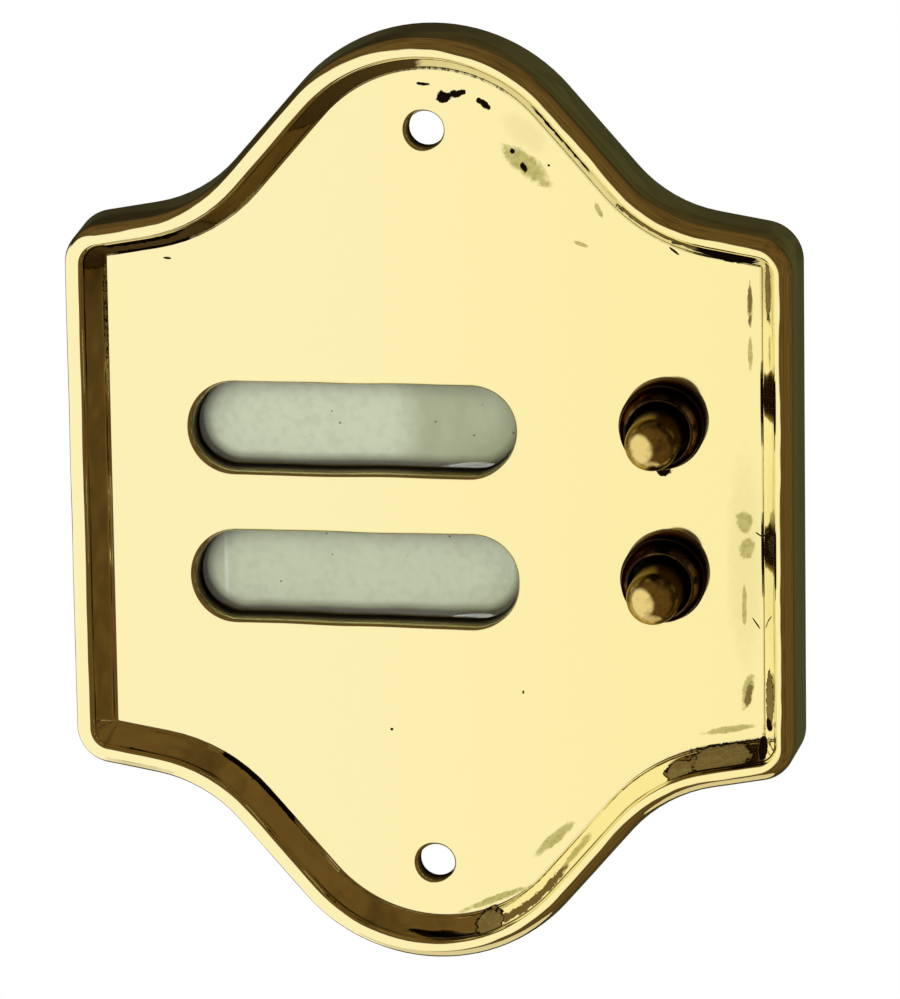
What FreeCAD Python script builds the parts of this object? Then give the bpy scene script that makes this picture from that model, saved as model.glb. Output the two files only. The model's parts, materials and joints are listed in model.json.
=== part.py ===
import FreeCAD
import Part

import math
import os

from FreeCAD import Vector

# Polished cast brass bell plate with two push buttons and two name windows.
# Everything is drawn with the plate lying on its back: x to the right, y up the wall,
# z out of the wall towards the person ringing. The finished pieces are then stood up,
# so that the wall is the plane y = 0 and the front faces -Y.
# Sizes are in millimetres.

# Outline of the face plate: a shield with an ogee at the top and at the bottom
plate_width = 99.0
plate_height = 127.5
crown_radius = 24.0
flank_angle = 49.0
flank_radius = 18.5
shoulder_angle = 10.0
shoulder_below_top = 27.0

# Section of the raised rim, and the field that it surrounds
rim_height = 11.5
rim_width = 4.9
rim_land = 2.6
rim_draft = 0.3
rim_outer_round = 1.9
rim_inner_round = 0.6
rim_foot_width = 3.0
rim_foot_draft = 0.3
rim_root_round = 0.5
field_corner_round = 0.5
field_front = 6.0
field_thickness = 2.8

# Name windows, seen from the front
window_height = 12.5
window_from_field_side = 11.4
window_below_button = 1.6
window_pitch_less = 0.4
window_edge = 0.3

# What lies behind each window
pane_margin = 2.0
pane_thickness = 1.5
pane_corner = 2.0
card_inset = 0.4
card_thickness = 0.4
clip_sheet = 0.6
clip_ear = 7.0
clip_width = 15.0
clip_corner = 2.0
clip_bend = 0.8
clip_fit = 0.25
clip_screw_from_end = 3.2

# Slotted screws of the card clips and of the terminals
screw_shank_radius = 1.0
screw_head_radius = 2.1
screw_head_height = 1.2
screw_slot_width = 0.5
screw_slot_depth = 0.6
clip_screw_length = 2.6
terminal_screw_length = 2.8
tapped_fit = 0.04
blind_rest = 0.3
screw_hole_fit = 0.15

# Holes for the two wall screws
wall_screw_radius = 2.5
wall_screw_from_top = 13.0
wall_screw_x = -0.6
wall_screw_middle_y = -0.5

# Push buttons and the collars that guide them
button_from_field_side = 13.4
button_from_window = 20.0
button_middle_y = 0.3
button_radius = 3.55
button_reach = 16.0
button_travel = 2.0
button_fit = 0.05
button_stop_gap = 0.05
button_flange_overhang = 1.0
button_flange_thickness = 1.0
button_spigot_radius = 2.4
button_spigot_length = 2.6

collar_height = 6.2
collar_overhang = 0.9
collar_ledge_height = 2.5
collar_ledge_width = 0.3
collar_dome_height = 1.6
collar_dome_round = 3.5
collar_lip_width = 0.6
collar_mouth_step = 0.45
collar_mouth_depth = 3.2
collar_mouth_bevel = 0.45
neck_wall = 1.3
neck_length = 11.0
neck_hole_fit = 0.1
washer_radius = 7.2
washer_thickness = 0.6
nut_across_flats = 13.0
nut_thickness = 2.3

# Moulded contact base, screwed on the neck behind each button
base_wall = 2.15
base_gap = 2.6
base_mouth_below_wall = 0.6
base_cavity_depth = 9.0
base_floor = 3.3
base_edge_round = 0.8
base_flutes = 12
flute_radius = 0.9
flute_depth = 0.45
spring_boss_fit = 0.35
spring_boss_height = 0.8

# Contacts and the spring
fibre_inset = 0.6
fibre_thickness = 0.5
disc_thickness = 0.5
disc_fit = 0.05
contact_sheet = 0.5
contact_width = 4.4
contact_from_spring = 0.95
contact_under_disc = 1.3
contact_from_disc = 0.4
contact_from_wall = 0.55
contact_air_gap = 0.05
contact_slot_fit = 0.1
contact_bend = 0.7
terminal_tab_end_x = 1.4
spring_from_spigot = 0.45
spring_wire_radius = 0.25
spring_turns = 5.0
spring_arcs_per_turn = 4
spring_seat_gap = 0.02

# Places worked out from the sizes above
half_width = plate_width / 2
half_height = plate_height / 2
shoulder_height = half_height - shoulder_below_top
corner_radius = rim_width + field_corner_round
field_side = half_width - rim_width
field_back = field_front - field_thickness
guide_radius = button_radius + button_fit
neck_radius = guide_radius + neck_wall
collar_radius = neck_radius + collar_overhang
flange_radius = guide_radius + button_flange_overhang
spring_radius = button_spigot_radius + spring_from_spigot + spring_wire_radius
contact_tip_x = spring_radius + spring_wire_radius + contact_from_spring
disc_radius = contact_tip_x + contact_under_disc
contact_leg_x = disc_radius + contact_from_disc
terminal_x = (contact_leg_x + terminal_tab_end_x) / 2
base_cavity_radius = contact_leg_x + contact_sheet + contact_from_wall
base_radius = base_cavity_radius + base_wall
button_x = field_side - button_from_field_side
button_pitch = 2 * base_radius + base_gap
window_start = window_from_field_side - field_side
window_end = button_x - button_from_window
window_length = window_end - window_start
window_x = (window_start + window_end) / 2
window_middle_y = button_middle_y - window_below_button
window_pitch = button_pitch - window_pitch_less
wall_screw_spacing = plate_height - 2 * wall_screw_from_top
pane_length = window_length + 2 * pane_margin
pane_height = window_height + 2 * pane_margin
card_front = field_back - pane_thickness
card_back = card_front - card_thickness
neck_end = field_front - neck_length
flange_front = neck_end - button_stop_gap
flange_back = flange_front - button_flange_thickness
fibre_back = flange_back - fibre_thickness
disc_back = fibre_back - disc_thickness
cavity_front = neck_end
cavity_floor = cavity_front - base_cavity_depth
base_back = cavity_floor - base_floor
contact_tip_front = disc_back - button_travel - contact_air_gap
tapped_radius = screw_shank_radius + tapped_fit
through_radius = screw_shank_radius + screw_hole_fit

origin = Vector(0, 0, 0)
out_of_wall = Vector(0, 0, 1)
cut_clear = 1.0


def rounded_wire(corners):
    """Closed wire through corners given as (point, radius); a radius of 0 stays sharp.

    Where two rounds want more than the side between them, both give way alike.
    """
    count = len(corners)
    sides = [corners[(k + 1) % count][0] - corners[k][0] for k in range(count)]
    half_angles = [sides[k].getAngle(-sides[k - 1]) / 2 for k in range(count)]
    wanted = [corners[k][1] / math.tan(half_angles[k]) for k in range(count)]
    shares = [sides[k].Length / max(wanted[k] + wanted[(k + 1) % count], sides[k].Length)
              for k in range(count)]
    rounds = []
    for k, (corner, radius) in enumerate(corners):
        if radius == 0:
            rounds.append((corner, None, corner))
            continue
        reach = wanted[k] * min(shares[k - 1], shares[k])
        to_before = sides[k - 1] * (-1 / sides[k - 1].Length)
        to_after = sides[k] * (1 / sides[k].Length)
        inward = (to_before + to_after).normalize()
        to_middle = reach / math.cos(half_angles[k]) - reach * math.tan(half_angles[k])
        rounds.append((corner + to_before * reach, corner + inward * to_middle,
                       corner + to_after * reach))
    edges = []
    for number, (start, middle, end) in enumerate(rounds):
        if middle is not None:
            edges.append(Part.Arc(start, middle, end).toShape())
        next_start = rounds[(number + 1) % len(rounds)][0]
        if end.distanceToPoint(next_start) > 1e-6:
            edges.append(Part.LineSegment(end, next_start).toShape())
    return Part.Wire(edges)


def flat_corners(points, z):
    """Corners (x, y, radius) laid in the plane at height z."""
    return [(Vector(x, y, z), radius) for x, y, radius in points]


def section_corners(points):
    """Corners (x, z, radius) standing in the plane y = 0."""
    return [(Vector(x, 0, z), radius) for x, z, radius in points]


def raised(wire, height):
    """Solid between a flat wire and its copy moved out of the wall."""
    return Part.Face(wire).extrude(Vector(0, 0, height))


def turned(points):
    """Solid of revolution about the z axis from a section of (radius, z, round) corners."""
    return Part.Face(rounded_wire(section_corners(points))).revolve(origin, out_of_wall, 360)


def rod(radius, bottom, top, x=0.0, y=0.0):
    """Cylinder along z from bottom to top."""
    return Part.makeCylinder(radius, top - bottom, Vector(x, y, bottom), out_of_wall)


def rectangle_wire(length, height, corner, z, x=0.0, y=0.0):
    """Rectangle with rounded corners about (x, y)."""
    right = length / 2
    top = height / 2
    signs = [(1, 1), (-1, 1), (-1, -1), (1, -1)]
    return rounded_wire(flat_corners([(x + a * right, y + b * top, corner) for a, b in signs], z))


def pill_wire(grow, z):
    """Outline of a name window, grown by a margin all round, about the window's middle."""
    length = window_length + 2 * grow
    height = window_height + 2 * grow
    straight = (length - height) / 2
    radius = height / 2
    right_top = Vector(straight, radius, z)
    left_top = Vector(-straight, radius, z)
    left_bottom = Vector(-straight, -radius, z)
    right_bottom = Vector(straight, -radius, z)
    return Part.Wire([
        Part.LineSegment(right_top, left_top).toShape(),
        Part.Arc(left_top, Vector(-straight - radius, 0, z), left_bottom).toShape(),
        Part.LineSegment(left_bottom, right_bottom).toShape(),
        Part.Arc(right_bottom, Vector(straight + radius, 0, z), right_top).toShape(),
    ])


def shield_wire(inset, z):
    """Outline of the plate moved inward by inset, as rounded corners of straight lines."""
    flank = math.radians(flank_angle)
    shoulder = math.radians(shoulder_angle)
    crown_top = half_height + crown_radius * (1 / math.cos(flank) - 1)
    crown_y = crown_top - inset / math.cos(flank)
    shoulder_at_axis = shoulder_height + half_width * math.tan(shoulder) - inset / math.cos(shoulder)
    waist_x = (crown_y - shoulder_at_axis) / (math.tan(flank) - math.tan(shoulder))
    waist_y = crown_y - waist_x * math.tan(flank)
    side_x = half_width - inset
    side_y = shoulder_at_axis - side_x * math.tan(shoulder)
    corner_reach = (corner_radius - inset) * math.tan((math.pi / 2 - shoulder) / 2)
    shoulder_run = (side_x - waist_x) / math.cos(shoulder) - corner_reach
    flank_run = waist_x / math.cos(flank) - (crown_radius - inset) * math.tan(flank)
    waist_limit = min(shoulder_run, flank_run) / math.tan((flank - shoulder) / 2)
    quarter = [
        (side_x, side_y, corner_radius - inset),
        (waist_x, waist_y, min(flank_radius + inset, waist_limit)),
    ]
    crown = (0.0, crown_y, crown_radius - inset)
    right_top = quarter
    left_top = [(-x, y, radius) for x, y, radius in reversed(quarter)]
    left_bottom = [(-x, -y, radius) for x, y, radius in quarter]
    right_bottom = [(x, -y, radius) for x, y, radius in reversed(quarter)]
    crown_below = (0.0, -crown_y, crown_radius - inset)
    points = right_top + [crown] + left_top + left_bottom + [crown_below] + right_bottom
    return rounded_wire(flat_corners(points, z))


def rim_section():
    """Section of the rim on the right-hand side of the plate, standing across its edge."""
    land_start = rim_draft
    land_end = rim_draft + rim_land
    points = [
        (0.0, 0.0, 0.0),
        (land_start, rim_height, rim_outer_round),
        (land_end, rim_height, rim_inner_round),
        (rim_width - rim_root_round, field_front, rim_root_round),
        (rim_width, field_front, 0.0),
        (rim_width, field_back, 0.0),
        (rim_foot_width + rim_foot_draft, field_back, 0.0),
        (rim_foot_width, 0.0, 0.0),
    ]
    standing = [(half_width - inset, height, radius) for inset, height, radius in points]
    return rounded_wire(section_corners(standing))


def rim():
    """The rim's section swept round the shield outline."""
    sweep = Part.BRepOffsetAPI.MakePipeShell(shield_wire(0.0, 0.0))
    sweep.setBiNormalMode(out_of_wall)
    sweep.add(rim_section())
    sweep.build()
    sweep.makeSolid()
    return sweep.shape()


def window_cutter(y):
    """Tool that opens one name window and eases its front edge."""
    deep = pill_wire(0.0, field_back - cut_clear)
    through = raised(deep, field_thickness + 2 * cut_clear)
    bevel = Part.makeLoft([pill_wire(0.0, field_front - window_edge),
                           pill_wire(2 * window_edge, field_front + window_edge)], True, True)
    return through.fuse(bevel).translated(Vector(window_x, y, 0))


def face_plate():
    """Cast shield plate: rim, field, windows, button holes, wall screw holes, tapped holes."""
    field_wire = shield_wire(rim_width, field_back)
    plate = rim().fuse(raised(field_wire, field_thickness)).removeSplitter()
    for y in window_places:
        plate = plate.cut(window_cutter(y))
        for x in clip_screw_places:
            tapped_end = field_back + clip_screw_length - clip_sheet + blind_rest
            plate = plate.cut(rod(tapped_radius, field_back - cut_clear, tapped_end, x, y))
    for y in button_places:
        hole = rod(neck_radius + neck_hole_fit, field_back - cut_clear, field_front + cut_clear,
                   button_x, y)
        plate = plate.cut(hole)
    for y in wall_screw_places:
        hole = rod(wall_screw_radius, field_back - cut_clear, field_front + cut_clear,
                   wall_screw_x, y)
        plate = plate.cut(hole)
    return plate


def window_pane():
    """Clear pane that lies against the back of the field."""
    return raised(rectangle_wire(pane_length, pane_height, pane_corner, card_front), pane_thickness)


def name_card():
    """Blank card behind the pane."""
    length = pane_length - 2 * card_inset
    height = pane_height - 2 * card_inset
    return raised(rectangle_wire(length, height, pane_corner, card_back), card_thickness)


def card_clip():
    """Pressed sheet tray whose two ears screw to the back of the field."""
    inner = pane_length / 2 + clip_fit
    outer = inner + clip_sheet
    ear_end = inner + clip_ear
    pan = card_back - clip_sheet
    ear_back = field_back - clip_sheet
    bend_inside = clip_bend - clip_sheet
    half = [
        (inner, card_back, bend_inside),
        (inner, field_back, clip_bend),
        (ear_end, field_back, 0.0),
        (ear_end, ear_back, 0.0),
        (outer, ear_back, bend_inside),
        (outer, pan, clip_bend),
    ]
    mirrored = [(-x, z, radius) for x, z, radius in reversed(half)]
    section = Part.Face(rounded_wire(section_corners(half + mirrored)))
    strip = section.extrude(Vector(0, clip_width, 0)).translated(Vector(0, -clip_width / 2, 0))
    plan = rectangle_wire(2 * ear_end, clip_width, clip_corner, pan - cut_clear)
    clip = strip.common(raised(plan, rim_height))
    for x in (-clip_screw_offset, clip_screw_offset):
        clip = clip.cut(rod(through_radius, ear_back - cut_clear, field_back + cut_clear, x))
    return clip


def slotted_screw(length):
    """Cheese head screw, its head on the side of the wall, its seat at z = 0."""
    head = turned([
        (0.0, -screw_head_height, 0.0),
        (screw_head_radius, -screw_head_height, screw_slot_depth / 2),
        (screw_head_radius, 0.0, 0.0),
        (screw_shank_radius, 0.0, 0.0),
        (screw_shank_radius, length, screw_shank_radius / 3),
        (0.0, length, 0.0),
    ])
    slot = Part.makeBox(
        2 * screw_head_radius + 2 * cut_clear, screw_slot_width, screw_slot_depth + cut_clear,
        Vector(-screw_head_radius - cut_clear, -screw_slot_width / 2,
               -screw_head_height - cut_clear))
    return head.cut(slot)


def clip_screws():
    """The two screws that hold one card clip."""
    seat = field_back - clip_sheet
    screw = slotted_screw(clip_screw_length)
    return [screw.translated(Vector(x, 0, seat)) for x in (-clip_screw_offset, clip_screw_offset)]


def button_collar():
    """Turned collar: domed ring on the front, guide bore, threaded neck through the plate."""
    top = field_front + collar_height
    ledge = field_front + collar_ledge_height
    mouth_floor = top - collar_mouth_depth
    mouth_radius = guide_radius + collar_mouth_step
    return turned([
        (guide_radius, neck_end, 0.0),
        (neck_radius, neck_end, 0.0),
        (neck_radius, field_front, 0.0),
        (collar_radius, field_front, 0.0),
        (collar_radius, ledge, collar_ledge_width / 2),
        (collar_radius - collar_ledge_width, ledge, 0.0),
        (collar_radius - collar_ledge_width, top - collar_dome_height, collar_dome_round),
        (mouth_radius + collar_lip_width, top, collar_mouth_bevel / 2),
        (mouth_radius + collar_mouth_bevel / 2, top, 0.0),
        (mouth_radius, top - collar_mouth_bevel, 0.0),
        (mouth_radius, mouth_floor, 0.0),
        (guide_radius, mouth_floor, 0.0),
    ])


def collar_washer():
    """Flat washer between the plate and the nut."""
    bottom = field_back - washer_thickness
    return turned([
        (neck_radius + neck_hole_fit, bottom, 0.0),
        (washer_radius, bottom, 0.0),
        (washer_radius, field_back, 0.0),
        (neck_radius + neck_hole_fit, field_back, 0.0),
    ])


def collar_nut():
    """Thin six-sided nut with chamfered corners."""
    top = field_back - washer_thickness
    bottom = top - nut_thickness
    corner = nut_across_flats / 2 / math.cos(math.pi / 6)
    six = [(corner * math.cos(math.pi * k / 3), corner * math.sin(math.pi * k / 3), 0.0)
           for k in range(6)]
    chamfer = corner - nut_across_flats / 2
    prism = raised(rounded_wire(flat_corners(six, bottom)), nut_thickness)
    envelope = turned([
        (neck_radius + tapped_fit, bottom, 0.0),
        (corner - chamfer, bottom, 0.0),
        (corner, bottom + chamfer / 2, 0.0),
        (corner, top, 0.0),
        (neck_radius + tapped_fit, top, 0.0),
    ])
    return prism.common(envelope)


def push_button():
    """Dome-ended plunger with the flange that stops it and the spigot that centres the spring."""
    tip = field_front + button_reach
    spigot_end = flange_back - button_spigot_length
    return turned([
        (0.0, spigot_end, 0.0),
        (button_spigot_radius, spigot_end, disc_thickness / 2),
        (button_spigot_radius, flange_back, 0.0),
        (flange_radius, flange_back, 0.0),
        (flange_radius, flange_front, 0.0),
        (button_radius, flange_front, 0.0),
        (button_radius, tip, button_radius - disc_fit),
        (0.0, tip, 0.0),
    ])


def spigot_ring(radius, thickness, back):
    """Flat ring carried on the button's spigot."""
    hole = button_spigot_radius + disc_fit
    return turned([
        (hole, back, 0.0),
        (radius, back, 0.0),
        (radius, back + thickness, 0.0),
        (hole, back + thickness, 0.0),
    ])


def insulating_washer():
    """Fibre washer that keeps the button dead."""
    return spigot_ring(disc_radius - fibre_inset, fibre_thickness, fibre_back)


def contact_disc():
    """Disc that joins the two fixed contacts when the button is pressed."""
    return spigot_ring(disc_radius, disc_thickness, disc_back)


def return_spring():
    """Coil spring between the contact disc and the floor of the base, a few arcs to a turn."""
    bottom = cavity_floor + spring_wire_radius + spring_seat_gap
    top = disc_back - spring_wire_radius - spring_seat_gap
    steps = round(spring_turns * spring_arcs_per_turn)

    def place(step):
        turned_by = 2 * math.pi * step / spring_arcs_per_turn
        return Vector(spring_radius * math.cos(turned_by), spring_radius * math.sin(turned_by),
                      bottom + (top - bottom) * step / steps)

    arcs = [Part.Arc(place(k), place(k + 0.5), place(k + 1)).toShape() for k in range(steps)]
    start_direction = arcs[0].tangentAt(arcs[0].FirstParameter)
    wire_end = Part.Wire([Part.makeCircle(spring_wire_radius, place(0), start_direction)])
    return Part.Wire(arcs).makePipeShell([wire_end], True, True)


def contact_base():
    """Moulded cup with a fluted grip, a threaded mouth, slots and tapped holes in its floor."""
    mouth = -base_mouth_below_wall
    thread = neck_radius + tapped_fit
    boss_radius = spring_radius - spring_wire_radius - spring_boss_fit
    base = turned([
        (0.0, base_back, 0.0),
        (base_radius, base_back, base_edge_round),
        (base_radius, mouth, base_edge_round),
        (thread, mouth, 0.0),
        (thread, cavity_front, 0.0),
        (base_cavity_radius, cavity_front, 0.0),
        (base_cavity_radius, cavity_floor, 0.0),
        (boss_radius, cavity_floor, 0.0),
        (boss_radius, cavity_floor + spring_boss_height, 0.0),
        (0.0, cavity_floor + spring_boss_height, 0.0),
    ])
    flute_x = base_radius + flute_radius - flute_depth
    for number in range(base_flutes):
        flute = rod(flute_radius, base_back + 2 * base_edge_round, mouth - 2 * base_edge_round,
                    flute_x)
        flute.rotate(origin, out_of_wall, 360 * (number + 0.5) / base_flutes)
        base = base.cut(flute)
    slot_width = contact_width + 2 * contact_slot_fit
    slot_length = contact_sheet + 2 * (contact_bend - contact_sheet + contact_slot_fit)
    for side in (-1, 1):
        middle = side * (contact_leg_x + contact_sheet / 2)
        slot = Part.makeBox(slot_length, slot_width, base_floor + 2 * cut_clear,
                            Vector(middle - slot_length / 2, -slot_width / 2,
                                   base_back - cut_clear))
        tapped_end = base_back + terminal_screw_length - contact_sheet + blind_rest
        tapped = rod(tapped_radius, base_back - cut_clear, tapped_end, side * terminal_x)
        base = base.cut(slot).cut(tapped)
    return base


def fixed_contact(side):
    """Folded strip: tip under the disc, leg through the floor, tab under the terminal screw."""
    leg_out = contact_leg_x + contact_sheet
    tab_back = base_back - contact_sheet
    bend_inside = contact_bend - contact_sheet
    points = [
        (contact_tip_x, contact_tip_front, 0.0),
        (leg_out, contact_tip_front, contact_bend),
        (leg_out, tab_back, contact_bend),
        (terminal_tab_end_x, tab_back, 0.0),
        (terminal_tab_end_x, base_back, 0.0),
        (contact_leg_x, base_back, bend_inside),
        (contact_leg_x, contact_tip_front - contact_sheet, bend_inside),
        (contact_tip_x, contact_tip_front - contact_sheet, 0.0),
    ]
    placed = [(side * x, z, radius) for x, z, radius in points]
    section = Part.Face(rounded_wire(section_corners(placed)))
    strip = section.extrude(Vector(0, contact_width, 0))
    strip.translate(Vector(0, -contact_width / 2, 0))
    hole = rod(through_radius, tab_back - cut_clear, base_back + cut_clear, side * terminal_x)
    return strip.cut(hole)


def terminal_screws():
    """The two screws that clamp the wires on the contacts' tabs."""
    seat = base_back - contact_sheet
    screw = slotted_screw(terminal_screw_length)
    return [screw.translated(Vector(x, 0, seat)) for x in (-terminal_x, terminal_x)]


def stood_up(shape):
    """Turns a piece from lying on its back to standing against the wall."""
    standing = shape.copy()
    standing.rotate(origin, Vector(1, 0, 0), 90)
    return standing


def write(name, shapes):
    """Writes one node: a single solid, or a group of like solids."""
    solids = []
    for shape in shapes:
        solids += stood_up(shape).Solids
    whole = solids[0] if len(solids) == 1 else Part.makeCompound(solids)
    whole.exportStep(os.path.join("parts", name + ".step"))


def both(middle, pitch):
    """The upper and the lower of two places along y."""
    return (middle + pitch / 2, middle - pitch / 2)


clip_screw_offset = pane_length / 2 + clip_fit + clip_ear - clip_screw_from_end
clip_screw_places = (window_x - clip_screw_offset, window_x + clip_screw_offset)
window_places = both(window_middle_y, window_pitch)
button_places = both(button_middle_y, button_pitch)
wall_screw_places = both(wall_screw_middle_y, wall_screw_spacing)

os.makedirs("parts", exist_ok=True)
write("face_plate", [face_plate()])

behind_window = {
    "window_pane": [window_pane()],
    "name_card": [name_card()],
    "card_clip": [card_clip()],
    "clip_screws": clip_screws(),
}
behind_button = {
    "button_collar": [button_collar()],
    "collar_washer": [collar_washer()],
    "collar_nut": [collar_nut()],
    "push_button": [push_button()],
    "insulating_washer": [insulating_washer()],
    "contact_disc": [contact_disc()],
    "return_spring": [return_spring()],
    "contact_base": [contact_base()],
    "left_contact": [fixed_contact(-1)],
    "right_contact": [fixed_contact(1)],
    "terminal_screws": terminal_screws(),
}
for level, window_y, button_y in zip(("upper", "lower"), window_places, button_places):
    for name, shapes in behind_window.items():
        write(level + "_" + name, [s.translated(Vector(window_x, window_y, 0)) for s in shapes])
    for name, shapes in behind_button.items():
        write(level + "_" + name, [s.translated(Vector(button_x, button_y, 0)) for s in shapes])
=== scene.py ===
import json
import math

import bmesh
import bpy
from bpy.props import FloatProperty, FloatVectorProperty, IntProperty, PointerProperty
from mathutils import Matrix, Quaternion, Vector, noise


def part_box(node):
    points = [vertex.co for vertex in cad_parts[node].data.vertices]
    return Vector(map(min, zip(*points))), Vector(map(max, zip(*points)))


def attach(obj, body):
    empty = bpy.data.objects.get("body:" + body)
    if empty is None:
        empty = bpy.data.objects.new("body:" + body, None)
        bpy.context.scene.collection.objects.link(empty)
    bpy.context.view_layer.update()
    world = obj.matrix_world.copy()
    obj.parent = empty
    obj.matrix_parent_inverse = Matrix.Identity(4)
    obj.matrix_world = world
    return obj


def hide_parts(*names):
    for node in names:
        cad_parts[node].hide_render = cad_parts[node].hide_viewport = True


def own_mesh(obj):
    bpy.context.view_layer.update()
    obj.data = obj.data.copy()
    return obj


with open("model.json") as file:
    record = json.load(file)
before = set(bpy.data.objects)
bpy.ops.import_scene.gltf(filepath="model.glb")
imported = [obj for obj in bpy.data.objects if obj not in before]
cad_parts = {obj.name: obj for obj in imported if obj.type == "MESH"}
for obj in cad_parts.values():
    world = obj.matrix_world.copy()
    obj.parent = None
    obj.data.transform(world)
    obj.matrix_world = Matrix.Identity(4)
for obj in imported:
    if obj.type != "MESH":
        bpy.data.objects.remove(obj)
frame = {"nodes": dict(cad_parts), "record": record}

bl_info = {
    "name": "Brass bell plate",
    "version": (1, 0, 0),
    "blender": (4, 5, 0),
    "location": "3D View > Sidebar > Bell plate",
    "description": "Dresses a cast brass bell plate with two push buttons and two name windows",
    "category": "Object",
}

MM = 0.001
LEVELS = ("upper", "lower")
TINY = 1e-6
OUTLINE_STEP = 1.5 * MM
CIRCLE_SIDES = 64
LONG_EDGE_CUTS = 28
FITTINGS = {
    "sheet brass": ("card_clip", "collar_washer", "collar_nut"),
    "steel": ("clip_screws", "terminal_screws"),
    "contact strip": ("left_contact", "right_contact", "contact_disc"),
    "fibre": ("insulating_washer",),
    "moulded black": ("contact_base",),
}
LAMP_SIZE = 0.8
LAMP_TINT = (1.0, 0.98, 0.95)

# Oval marks on the plate, as (x, z, half length, half height, turn) in mm and degrees
CASTING_PITS = (
    (2.1, 54.8, 1.1, 0.8, 5),
    (3.9, 55.3, 1.1, 0.5, 10),
    (7.4, 54, 1.1, 0.5, -38),
    (-0.7, 56.5, 0.9, 0.22, -5),
)
TARNISH_SPOTS = (
    (13.1, 45.7, 4.3, 1.5, -40),
    (22.7, 39.8, 1.2, 0.35, -65),
    (20.2, 35.1, 1.2, 0.3, -20),
    (15.7, -47.4, 3.8, 0.75, 42),
    (7.5, -56.1, 5, 0.5, 22),
    (42.9, 27, 0.4, 2.6, 0),
    (42.9, 20.6, 0.35, 2.2, 0),
    (41.9, -2.5, 1.2, 1.6, 0),
    (42.3, -6.2, 1.2, 1.5, 0),
    (41.9, -14, 0.35, 3.4, 0),
    (42.3, -26, 0.8, 2.6, -10),
    (39.6, -31.4, 3.6, 0.5, 10),
)
DARK_SPECKS = (
    (-6.4, -32.6, 0.2, 0.18, 0),
    (11.7, -26.9, 0.15, 0.28, 0),
    (11.2, 47.6, 0.32, 0.36, 0),
    (12.8, 45.4, 0.45, 0.7, 20),
    (16.1, 45.7, 0.18, 0.16, 0),
    (32.9, 34.3, 0.8, 0.14, -38),
    (-36, 32.2, 0.6, 0.14, -4),
    (31.1, 4.3, 1.25, 0.75, 5),
    (43.9, -4.2, 0.6, 0.1, -35),
    (43.5, -16.5, 0.9, 0.1, -55),
)
BROWN_STREAKS = (
    (42.9, 28, 0.3, 2.2, 0),
    (42.9, 25, 0.25, 1, 0),
    (42.4, -26.3, 0.5, 2, -10),
)
HAZE = (
    (42, -8, 2.6, 16, 0),
    (13, 50, 4, 2, -40),
)
BLACK_DIRT = (
    (40.4, 34.6, 4.3, 1.7, -9),
    (44.6, -33.2, 0.7, 1.2, 0),
    (45.4, -30, 0.55, 0.9, 0),
)
ROOT_LINES = (
    (-37.5, 33.3, 6, 2.5, 13),
    (-24.5, -41, 7.5, 3, -38),
)
CREST_LINES = (
    (-38.6, 36.2, 6, 2.5, 13),
    (-30.5, -43, 8, 3, -35),
    (18.2, 49.8, 6.5, 3, -48),
)
RIM_DIRT = (
    (45.7, 30, 0.5, 4.2, 0),
    (38.8, -34.7, 4.8, 1.4, 10),
    (-39.5, -35.9, 3.6, 0.45, -16),
    (33.3, -36.4, 2.2, 1, 20),
    (7.2, -58.6, 2.2, 1.4, 24),
    (31.7, 37.9, 7, 1.1, -27),
    (45.6, -26.4, 0.7, 4.2, 0),
)
GRIMY_CORNERS = (
    (-39, 33.6, 11, 4, 10),
    (-44.6, 24, 2.5, 12, 0),
    (40, -33.6, 9, 3, 10),
    (5, 58.2, 14, 3, -8),
)
FILMED_SLOPES = (
    (-11, 57, 12.5, 4.5, 25),
    (-39, 35, 11, 4.2, 8),
)
FILM_LINES = (
    (12.5, -55, 8, 3, 36),
)


def length(name, description, millimetres):
    """A size of the plate that a user can change."""
    return FloatProperty(name=name, description=description, default=millimetres * MM,
                         unit="LENGTH", subtype="DISTANCE", precision=5)


def angle(name, description, degrees):
    """An angle that a user can change."""
    return FloatProperty(name=name, description=description, default=math.radians(degrees),
                         unit="ROTATION", subtype="ANGLE")


def colour(name, description, red, green, blue):
    """A colour that a user can change, in linear light."""
    return FloatVectorProperty(name=name, description=description, default=(red, green, blue, 1.0),
                               size=4, min=0.0, max=1.0, subtype="COLOR")


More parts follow.
